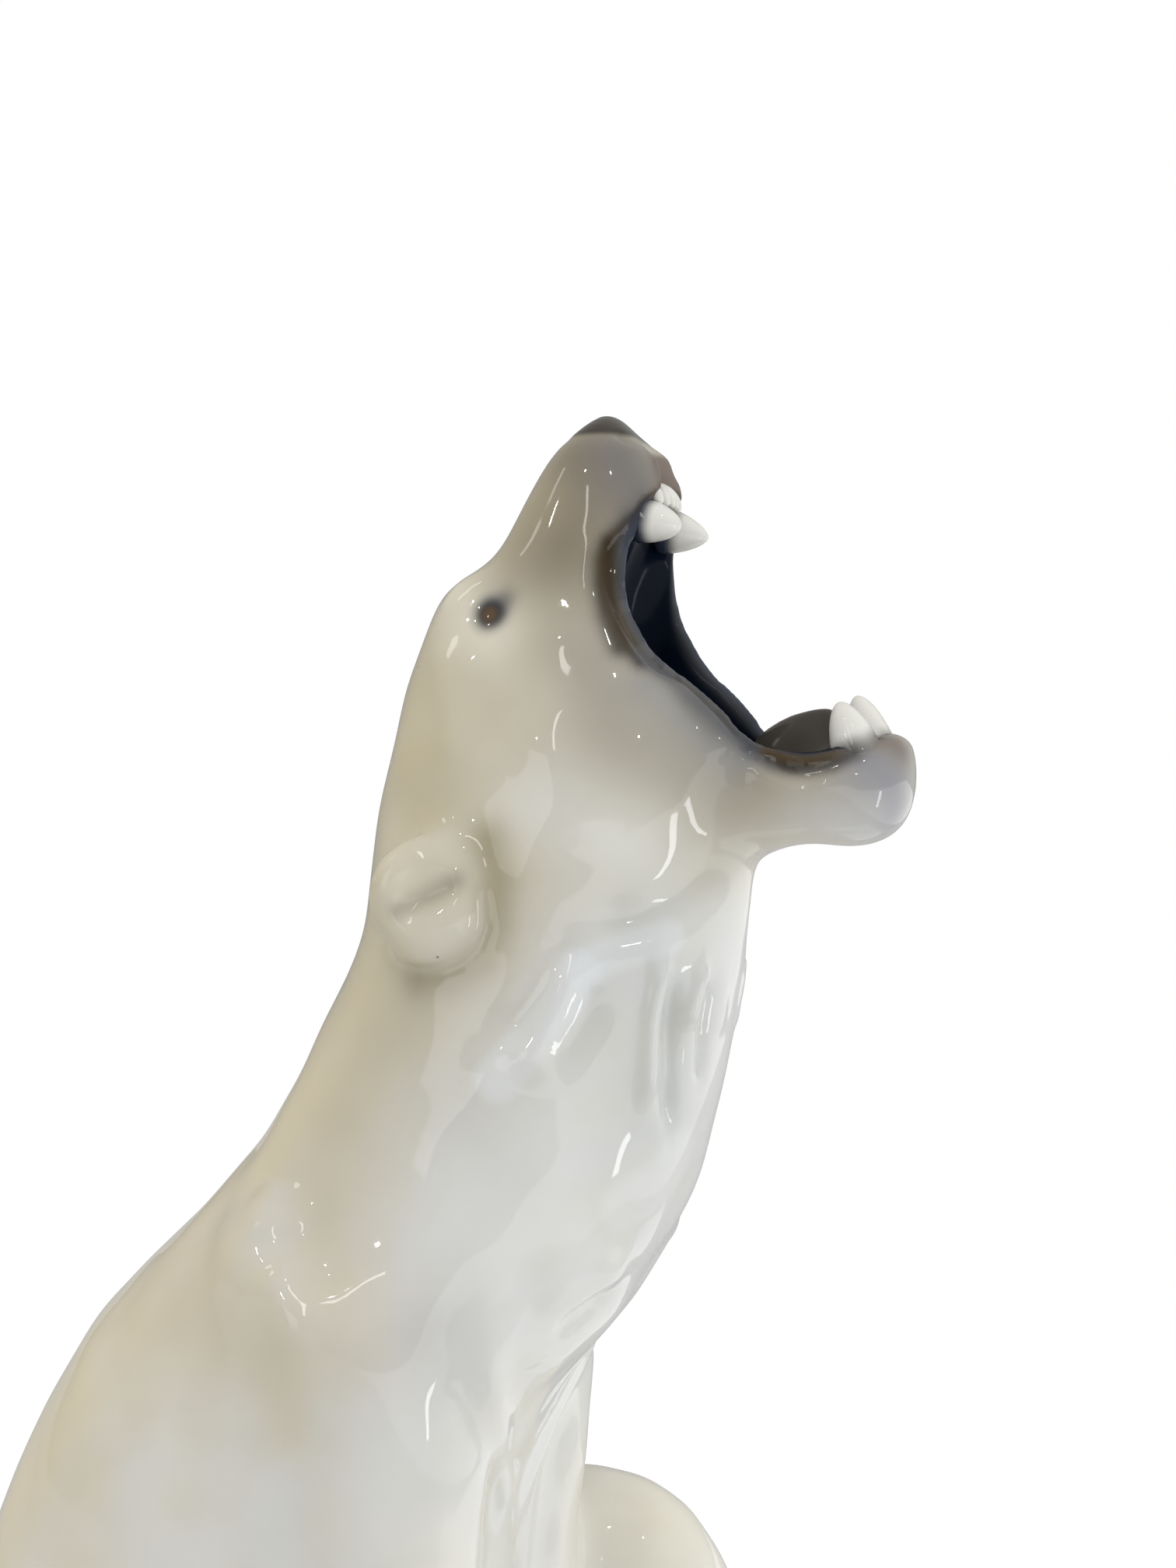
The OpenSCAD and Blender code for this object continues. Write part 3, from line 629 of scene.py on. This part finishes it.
# pale painted reflections along the neck, throat and chest folds
spray(paintedReflections, edge=6)
# warm cream on both knees, painted lighter than the body as painted light where the knees catch it
for side in (-1, 1):
    coat(tints["knee"], 0.85 * closeTo(points, (side * 50.0, -38.0, 83.0), 28.0))
atLips = ramp(up, lipFoot, 243 * mm) * (1 - ramp(forward, 85 * mm, 95 * mm))
bandGap = lipGap * (1.7 - 0.7 * ramp(up, 250 * mm, 262 * mm))   # the lower lip's bands are narrower
coat(tints["mouthEdge"], 0.75 * (1 - ramp(bandGap, 4.2, 9.4)) * atLips)
spray(lipShade)
for middle, width, colour, amount in lipBands:
    coat(colour, amount * np.exp(-((bandGap - middle) / width) ** 2) * atLips)
spray(lipTints)
lipFront = ramp(-normals[:, 1], 0.5, 0.8) * ramp(up, 299 * mm, 302 * mm) * (1 - ramp(up, 311 * mm, 313 * mm))
coat(tints["lipFront"], 0.8 * lipFront * (1 - ramp(np.abs(points[:, 0]), 7 * mm, 10 * mm)))
coat(tints["lipNotch"], 0.7 * closeTo(points, (0.0, -51.5, 304.0), 4.5))
coat(tints["nose"], 0.95 * ramp(up, noseEdge - 0.8 * mm, noseEdge + 0.6 * mm))
spray(eyeCoats, edge=4)
pointLabels = np.zeros(len(points), dtype=int)
for polygon, label in zip(skinMesh.polygons, labels):
    for v in polygon.vertices:
        pointLabels[v] = label


def partOf(name):  # 1 on the skin of one casting, soft at its joints
    return spread((pointLabels == skinNodes.index(name)).astype(float), edges, 3)


coat(tints["mouth"], np.maximum(partOf("mouth_lining"), 0.9 * atLips) * (1 - ramp(lipGap, 0.0, 1.1)))
coat(tints["tongue"], partOf("tongue"))
print("underglaze sprayed")


def feed(tree, node, sockets):  # a socket takes a plain value, or another node and one of its outputs
    for socket, value in sockets.items():
        if isinstance(value, tuple) and isinstance(value[0], bpy.types.Node):
            tree.links.new(value[0].outputs[value[1]], node.inputs[socket])
        else:
            node.inputs[socket].default_value = value


def addNode(tree, kind, sockets=None, **settings):
    node = tree.nodes.new("ShaderNode" + kind)
    for name, value in settings.items():
        setattr(node, name, value)
    feed(tree, node, sockets or {})
    return node


def newMaterial(name):
    material = bpy.data.materials.new(name)
    material.use_nodes = True
    tree = material.node_tree
    return material, tree, tree.nodes["Principled BSDF"]


def glaze(name, settings):
    material, tree, shader = newMaterial(name)
    place = (addNode(tree, "TexCoord"), "Object")
    colour = addNode(tree, "Attribute", attribute_name="paint")
    # uneven spray of the underglaze
    cloud = (addNode(tree, "TexNoise", {"Vector": place, "Scale": settings["cloudScale"], "Detail": 5.0}), "Fac")
    cloudShade = addNode(tree, "MapRange", {"Value": cloud, "From Min": 0.3, "From Max": 0.7,
                                            "To Min": 1.0 - settings["cloud"], "To Max": 1.0})
    shaded = addNode(tree, "VectorMath", {0: (colour, "Color"), "Scale": (cloudShade, "Result")}, operation="SCALE")
    # a few iron specks in the clay
    cells = addNode(tree, "TexVoronoi", {"Vector": place, "Scale": settings["specks"]})
    speck = addNode(tree, "MapRange", {"Value": (cells, "Distance"), "From Min": 0.008, "From Max": 0.02})
    pick = addNode(tree, "SeparateColor", {"Color": (cells, "Color")})
    rare = addNode(tree, "Math", {0: (pick, "Red"), 1: 0.4}, operation="GREATER_THAN")
    clear = addNode(tree, "Math", {0: (speck, "Result"), 1: (rare, "Value")}, operation="MAXIMUM")
    speckShade = addNode(tree, "MapRange", {"Value": (clear, "Value"), "To Min": 0.3})
    spotted = addNode(tree, "VectorMath", {0: (shaded, 0), "Scale": (speckShade, "Result")}, operation="SCALE")
    smooth, rough = settings["rough"]
    glossLoss = addNode(tree, "MapRange", {"Value": cloud, "To Min": smooth, "To Max": rough})
    # orange peel of the fired glaze
    peel = addNode(tree, "TexNoise", {"Vector": place, "Scale": settings["peelScale"], "Detail": 2.0})
    bump = (addNode(tree, "Bump", {"Height": (peel, "Fac"), "Strength": settings["peel"], "Distance": 0.0004}), "Normal")
    feed(tree, shader, {"Base Color": (spotted, 0), "Roughness": (glossLoss, "Result"), "IOR": 1.5,
                        "Specular IOR Level": settings["shine"], "Coat Weight": settings["coat"],
                        "Coat Roughness": 0.02, "Coat IOR": 1.5, "Normal": bump, "Coat Normal": bump})
    return material


porcelainGlaze = glaze("porcelain glaze", {
    "specks": 55.0, "shine": 0.5, "coat": 0.35, "cloudScale": 45.0, "cloud": 0.07,
    "rough": (0.03, 0.07), "peelScale": 130.0, "peel": 0.05})
mouthGlaze = glaze("mouth glaze", {
    "specks": 40.0, "shine": 0.09, "coat": 0.0, "cloudScale": 60.0, "cloud": 0.25,
    "rough": (0.08, 0.16), "peelScale": 160.0, "peel": 0.06})
tongueGlaze = glaze("tongue glaze", {
    "specks": 40.0, "shine": 0.35, "coat": 0.1, "cloudScale": 90.0, "cloud": 0.25,
    "rough": (0.1, 0.2), "peelScale": 200.0, "peel": 0.1})
toothGlaze = glaze("tooth glaze", {
    "specks": 30.0, "shine": 0.5, "coat": 0.35, "cloudScale": 120.0, "cloud": 0.08,
    "rough": (0.08, 0.16), "peelScale": 250.0, "peel": 0.04})
footShades = [(0.3, (0.6, 0.57, 0.52, 1)), (0.7, (0.76, 0.74, 0.7, 1))]


def unglazedFoot():
    material, tree, shader = newMaterial("unglazed foot")
    place = (addNode(tree, "TexCoord"), "Object")
    grain = (addNode(tree, "TexNoise", {"Vector": place, "Scale": 320.0, "Detail": 6.0}), "Fac")
    colours = addNode(tree, "ValToRGB", {"Fac": grain})
    for step, (position, colour) in zip(colours.color_ramp.elements, footShades):
        step.position = position
        step.color = colour
    bump = addNode(tree, "Bump", {"Height": grain, "Strength": 0.25, "Distance": 0.0003})
    feed(tree, shader, {"Base Color": (colours, "Color"), "Roughness": 0.75, "Normal": (bump, "Normal")})
    return material


footMaterial = unglazedFoot()
print("glazes mixed")

# the skin is cut at the joints into the pieces that were pressed and cast: glaze, slot, wall of an open one
pieceFinish = {
    "head_shell": (porcelainGlaze, "porcelain", 1.6 * mm),
    "lower_jaw": (porcelainGlaze, "porcelain", 1.4 * mm),
    "mouth_lining": (mouthGlaze, "mouth_underglaze", 1.2 * mm),
    "tongue": (tongueGlaze, "tongue_underglaze", 0.0),
}
for name in ("body_shell", "right_ear", "left_ear", "right_foreleg", "left_foreleg", "right_hind_leg", "left_hind_leg",
             "right_hind_foot", "left_hind_foot", "tail"):
    pieceFinish[name] = (porcelainGlaze, "porcelain", 0.0)
turnIn = 1.6 * mm
tipDepth = 0.6   # how deep a rim's closing point lies, as a share of the rim's size
# the glaze evens out the finest ripples
shading = np.stack([spread(normals[:, k], edges, 3) for k in range(3)], axis=1)
shading = shading / np.linalg.norm(shading, axis=1)[:, None]
skinIndex = skinMesh.attributes.new("skinIndex", "INT", "POINT")
skinIndex.data.foreach_set("value", np.arange(len(points), dtype=np.int32))
castLabel = skinMesh.attributes.new("castLabel", "INT", "FACE")
castLabel.data.foreach_set("value", labels.astype(np.int32))


def storePaint(mesh, shades):
    layer = mesh.attributes.new("paint", "FLOAT_COLOR", "POINT")
    layer.data.foreach_set("color", np.insert(shades, 3, 1.0, axis=1).astype(np.float32).ravel())


storePaint(skinMesh, paint)


def finishPiece(mesh, name, node, material):
    mesh.materials.append(material)
    piece = bpy.data.objects.new(name, mesh)
    scene.collection.objects.link(piece)
    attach(piece, "root")
    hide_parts(node)


def rimLoops(rims):  # rim edges that hang together
    left = set(rims)
    loops = []
    while left:
        edge = left.pop()
        loop, ends = [edge], list(edge.verts)
        while ends:
            v = ends.pop()
            for e in v.link_edges:
                if e in left:
                    left.remove(e)
                    loop.append(e)
                    ends.append(e.other_vert(v))
        loops.append(loop)
    return loops


def closeRim(bm, loop, indexLayer):  # the edge turns in under the joint and closes to a point inside
    turned = {}
    for v in {v for e in loop for v in e.verts}:
        turned[v] = bm.verts.new(v.co - Vector(normals[v[indexLayer]]) * turnIn, v)
    middle = sum((v.co for v in turned.values()), Vector()) / len(turned)
    outward = sum((Vector(normals[v[indexLayer]]) for v in turned), Vector()) / len(turned)
    size = sum((v.co - middle).length for v in turned.values()) / len(turned)
    tip = bm.verts.new(middle - outward * tipDepth * size, next(iter(turned)))
    for e in loop:
        corner = e.link_loops[0]
        a, b = corner.vert, corner.link_loop_next.vert
        bm.faces.new((b, a, turned[a], turned[b]))
        bm.faces.new((turned[b], turned[a], tip))


def wholeNumbers(items, name):
    values = np.empty(len(items), dtype=np.int32)
    items.foreach_get(name, values)
    return values


def cutPiece(node):
    material, slotName, wall = pieceFinish[node]
    wanted = skinNodes.index(node)
    bm = bmesh.new()
    bm.from_mesh(skinMesh)
    labelLayer = bm.faces.layers.int["castLabel"]
    indexLayer = bm.verts.layers.int["skinIndex"]
    bmesh.ops.delete(bm, geom=[f for f in bm.faces if f[labelLayer] != wanted], context="FACES")
    for v in [v for v in bm.verts if sum(e.is_boundary for e in v.link_edges) > 2]:  # corners that only touch
        bmesh.utils.vert_separate(v, [e for e in v.link_edges if e.is_boundary])
    rims = [e for e in bm.edges if e.is_boundary]
    own = set(bm.faces)
    if wall > 0:   # a hollow casting: an inner wall and the rim between
        twin = bmesh.ops.duplicate(bm, geom=bm.faces[:] + bm.edges[:] + bm.verts[:])
        across = twin["vert_map"]
        inner = [g for g in twin["geom"] if isinstance(g, bmesh.types.BMFace)]
        bmesh.ops.reverse_faces(bm, faces=inner)
        for v in [g for g in twin["geom"] if isinstance(g, bmesh.types.BMVert)]:
            v.co -= Vector(normals[v[indexLayer]]) * wall
        for e in rims:
            corner = e.link_loops[0]
            a, b = corner.vert, corner.link_loop_next.vert
            bm.faces.new((b, a, across[a], across[b]))
    else:
        for loop in rimLoops(rims):
            closeRim(bm, loop, indexLayer)
    for f in bm.faces:
        f.smooth = f in own
        f[labelLayer] = 1 if f in own else 0
    openEdges = sum(1 for e in bm.edges if len(e.link_faces) != 2)
    mesh = bpy.data.meshes.new(node)
    bm.to_mesh(mesh)
    bm.free()
    shown = wholeNumbers(mesh.attributes["castLabel"].data, "value")
    source = wholeNumbers(mesh.attributes["skinIndex"].data, "value")
    corners = wholeNumbers(mesh.loops, "vertex_index")
    sizes = wholeNumbers(mesh.polygons, "loop_total")
    loopNormals = shading[source[corners]] * np.repeat(shown, sizes)[:, None]
    mesh.normals_split_custom_set(loopNormals.tolist())
    mesh.attributes.remove(mesh.attributes["castLabel"])
    mesh.attributes.remove(mesh.attributes["skinIndex"])
    finishPiece(mesh, node + ".skin", node, material)
    mesh.calc_loop_triangles()
    print(node, "triangles", len(mesh.loop_triangles), "open edges", openEdges)


for node in pieceFinish:
    cutPiece(node)

# a row of small incisors between the upper canines
incisors = {"count": 6, "pitch": 2.6, "bow": 1.5, "reach": 53.6, "height": 303.0, "turn": 145,
            "size": (2.7, 3.2, 5.8), "gum": (51.8 * mm, 53.8 * mm)}
ivory = (0.81, 0.795, 0.735)
# grey painted shade at the incisors' roots, where they go up under the lip
incisorRootShadow = (0.3, 0.29, 0.28)
navyGum = (0.03, 0.038, 0.06)
# a canine's root narrows over a first share of its length
rootShare, rootPower = 0.3, 0.6
lipBlend = (0.2 * mm, 3.0 * mm)


# the root colour is the navy gum for the upper canines, the lip's own glaze for the lower ones, and a grey painted
# shade for the incisors
def paintTeeth(mesh, shares, rootShade):  # ivory, with the gum's shade at the root
    storePaint(mesh, np.array(rootShade) + shares[:, None] * (np.array(ivory) - np.array(rootShade)))


jawSpots = np.flatnonzero(partOf("lower_jaw") > 0.5)
jawTree = KDTree(len(jawSpots))
for spot in jawSpots:
    jawTree.insert(points[spot], int(spot))
jawTree.balance()


def makeCanine(node):
    form = canines[node]
    root, axis, length = canineAxis(node)
    first, second = form["blunt"]
    bm = bmesh.new()
    bmesh.ops.create_uvsphere(bm, u_segments=32, v_segments=28, radius=1.0)
    alongs = []
    for v in bm.verts:   # the ball is drawn out into a blunt cone
        t = min(max((v.co.z + 1) / 2, 0), 1)
        ring = max(math.hypot(v.co.x, v.co.y), 1e-4)
        wide = form["halfWidth"] * mm * (1 - t ** first) ** second * min(1, t / rootShare) ** rootPower / ring
        v.co = Vector((v.co.x * wide, v.co.y * wide, t * length))
        alongs.append(t)
    place = Matrix.Translation(root) @ axis.to_track_quat("Z", "Y").to_matrix().to_4x4()
    bmesh.ops.transform(bm, verts=bm.verts, matrix=place)
    mesh = bpy.data.meshes.new(node)
    bm.to_mesh(mesh)
    bm.free()
    mesh.shade_smooth()
    if "lower" in node:   # the lip's own glaze runs up the foot of the tooth
        nearest = [jawTree.find(v.co) for v in mesh.vertices]
        lipShades = paint[[spot for _, spot, _ in nearest]]
        paintTeeth(mesh, ramp(np.array([gap for _, _, gap in nearest]), *lipBlend), lipShades)
    else:
        paintTeeth(mesh, ramp(np.array(alongs), form["gum"] - 0.1, form["gum"] + 0.12), navyGum)
    finishPiece(mesh, node + ".ivory", node, toothGlaze)


def makeIncisors():
    bm = bmesh.new()
    rowWidth = incisors["count"] * incisors["pitch"]
    for i in range(incisors["count"]):
        x = (i - (incisors["count"] - 1) / 2) * incisors["pitch"]
        reach = incisors["reach"] - incisors["bow"] * (2 * x / rowWidth) ** 2
        place = (Matrix.Translation(Vector((x, -reach, incisors["height"])) * mm)
                 @ Matrix.Rotation(math.radians(incisors["turn"]), 4, "X")
                 @ Matrix.Diagonal(Vector(incisors["size"]) / 2 * mm).to_4x4())
        bmesh.ops.create_uvsphere(bm, u_segments=20, v_segments=12, radius=1.0, matrix=place)
    mesh = bpy.data.meshes.new("upper_incisors")
    bm.to_mesh(mesh)
    bm.free()
    mesh.shade_smooth()
    # the incisors' roots get the grey painted shade
    paintTeeth(mesh, ramp(np.array([-v.co.y for v in mesh.vertices]), *incisors["gum"]), incisorRootShadow)
    finishPiece(mesh, "upper_incisors.ivory", "upper_incisors", toothGlaze)


makeIncisors()
for node in canines:
    makeCanine(node)
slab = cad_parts["base_slab"]
slab.data.materials.clear()
slab.data.materials.append(footMaterial)
bpy.data.meshes.remove(skinMesh)
print("teeth set")

# plain pale floor and a white room, softboxes for the glaze and small lamps for its glints
studio = {
    "floorSize": 3.0,
    "floorColour": (0.85, 0.85, 0.84, 1),
    "floorGlow": 0.35,
    "shadowReach": (0.22, 0.6),
    "nearShine": 0.5,
    "brightPatches": [((0.0, -1.66), (3.0, 1.34)), ((0.12, -0.14), (0.15, 0.08))],
    "roomLight": 0.55,
    "roomColour": (0.97, 0.98, 1.0, 1),
    "roomShine": 0.25,
    "wallShine": 0.38,
    "wallSide": (0.95, 0.31, 0.0),
    "wallEdge": (-0.1, 0.7),
}
softboxes = [
    # name, place, aim, width, height, watts, colour, seen in the glaze
    ("frontFill", (-0.5, -1.15, 0.4), (0, -0.02, 0.2), 0.6, 0.6, 2.0, (0.94, 0.97, 1.0), False),
    ("farFill", (0.2, -1.25, 0.4), (0, -0.02, 0.2), 0.6, 0.6, 2.4, (0.96, 0.98, 1.0), False),
    ("ceiling", (-0.25, 0.1, 1.5), (0, 0, 0.2), 0.9, 0.9, 7.0, (1.0, 0.98, 0.95), False),
    ("backFill", (0.4, 1.3, 0.7), (0, 0, 0.2), 1.2, 1.2, 3.8, (1.0, 0.95, 0.86), False),
    ("lowWindow", (-0.17, -0.55, 0.09), (0, -0.05, 0.2), 0.05, 0.2, 0.17, (0.94, 0.97, 1.0), True),
    ("kneeFill", (0.55, -0.6, 0.4), (0.05, -0.05, 0.08), 0.4, 0.4, 1.0, (1.0, 0.98, 0.94), False),
    ("backWindow", (-0.43, 0.78, 1.0), (0, 0.03, 0.15), 0.1, 0.25, 0.2, (1.0, 0.98, 0.94), True),
    ("highStrip", (-0.62, -0.03, 0.56), (0, 0, 0.2), 0.03, 0.26, 0.12, (1.0, 0.98, 0.94), True),
    ("sideWindow", (-1.15, 0.37, 0.3), (0, 0, 0.2), 0.4, 0.4, 0.5, (0.96, 0.98, 1.0), True),
]
spotPlaces = [(-0.95, -0.75, 0.62), (-0.95, 0.33, 0.6), (-0.7, -0.5, 1.04), (-0.72, 0.06, 0.98),
              (-0.75, 0.69, 0.9)]
for number, spotPlace in enumerate(spotPlaces):
    softboxes.append((f"spot{number}", spotPlace, (0, 0, 0.22), 0.025, 0.025, 0.12, (1.0, 0.97, 0.9), True))


def makeFloor():
    bm = bmesh.new()
    bmesh.ops.create_grid(bm, x_segments=2, y_segments=2, size=studio["floorSize"])
    mesh = bpy.data.meshes.new("floor")
    bm.to_mesh(mesh)
    bm.free()
    floor = bpy.data.objects.new("floor", mesh)
    scene.collection.objects.link(floor)
    material, tree, shader = newMaterial("pale floor")
    path = addNode(tree, "LightPath")
    seen, mirrored = (path, "Is Camera Ray"), (path, "Is Glossy Ray")
    place = (addNode(tree, "TexCoord"), "Object")
    # the shadow fades out into the white room, and the glaze mirrors the floor as white
    away = addNode(tree, "VectorMath", {0: place}, operation="LENGTH")
    near, far = studio["shadowReach"]
    fade = addNode(tree, "MapRange", {"Value": (away, "Value"), "From Min": near, "From Max": far},
                   interpolation_type="SMOOTHSTEP")
    faded = addNode(tree, "Math", {0: (fade, "Result"), 1: seen}, operation="MULTIPLY")
    share = addNode(tree, "Math", {0: (faded, "Value"), 1: mirrored}, operation="MAXIMUM")
    glow = addNode(tree, "Math", {0: seen, 1: studio["floorGlow"]}, operation="MULTIPLY")
    feed(tree, shader, {"Base Color": studio["floorColour"], "Roughness": 0.8, "Specular IOR Level": 0.0,
                        "Emission Color": (1, 1, 1, 1), "Emission Strength": (glow, "Value")})
    # window light on the table as the glaze mirrors it, dimmer close by the figure
    sides = addNode(tree, "SeparateXYZ", {"Vector": place})
    level = studio["nearShine"]
    for middle, reach in studio["brightPatches"]:
        within = [(addNode(tree, "Math", {0: (sides, axis), 1: middle[k], 2: reach[k]}, operation="COMPARE"), "Value")
                  for k, axis in enumerate("XY")]
        inside = addNode(tree, "Math", {0: within[0], 1: within[1]}, operation="MULTIPLY")
        level = (addNode(tree, "Math", {0: level, 1: (inside, "Value")}, operation="MAXIMUM"), "Value")
    plain = addNode(tree, "Math", {0: level, 1: seen}, operation="MAXIMUM")
    white = addNode(tree, "Emission", {"Strength": (plain, "Value")})
    mix = addNode(tree, "MixShader", {"Fac": (share, "Value"), 1: (shader, "BSDF"), 2: (white, "Emission")})
    feed(tree, tree.nodes["Material Output"], {"Surface": (mix, "Shader")})
    mesh.materials.append(material)


def lightRoom():
    world = bpy.data.worlds.new("room")
    world.use_nodes = True
    scene.world = world
    tree = world.node_tree
    tree.nodes.clear()
    path = addNode(tree, "LightPath")
    place = (addNode(tree, "TexCoord"), "Generated")
    # the glaze mirrors a pale wall behind the figure and a dimmer room before it
    towards = addNode(tree, "VectorMath", {0: place, 1: studio["wallSide"]}, operation="DOT_PRODUCT")
    start, end = studio["wallEdge"]
    wall = addNode(tree, "MapRange", {"Value": (towards, "Value"), "From Min": start, "From Max": end,
                                      "To Min": studio["roomShine"], "To Max": studio["wallShine"]},
                   interpolation_type="SMOOTHSTEP")
    shine = addNode(tree, "Background", {"Strength": (wall, "Result")})
    dim = addNode(tree, "Background", {"Color": studio["roomColour"], "Strength": studio["roomLight"]})
    white = addNode(tree, "Background", {"Color": (1, 1, 1, 1), "Strength": 1.0})
    reflected = addNode(tree, "MixShader", {"Fac": (path, "Is Glossy Ray"), 1: (dim, "Background"),
                                            2: (shine, "Background")})
    mix = addNode(tree, "MixShader", {"Fac": (path, "Is Camera Ray"), 1: (reflected, "Shader"),
                                      2: (white, "Background")})
    addNode(tree, "OutputWorld", {"Surface": (mix, "Shader")})
    for name, place, aim, width, height, watts, colour, mirrored in softboxes:
        lamp = bpy.data.lights.new(name, "AREA")
        lamp.shape = "RECTANGLE"
        lamp.size, lamp.size_y = width, height
        lamp.energy = watts
        lamp.color = colour
        holder = bpy.data.objects.new(name, lamp)
        holder.location = place
        holder.visible_glossy = mirrored
        holder.rotation_mode = "QUATERNION"
        holder.rotation_quaternion = (Vector(aim) - Vector(place)).to_track_quat("-Z", "Y")
        scene.collection.objects.link(holder)


makeFloor()
lightRoom()
scene.view_settings.view_transform = "Standard"
print("studio lit")
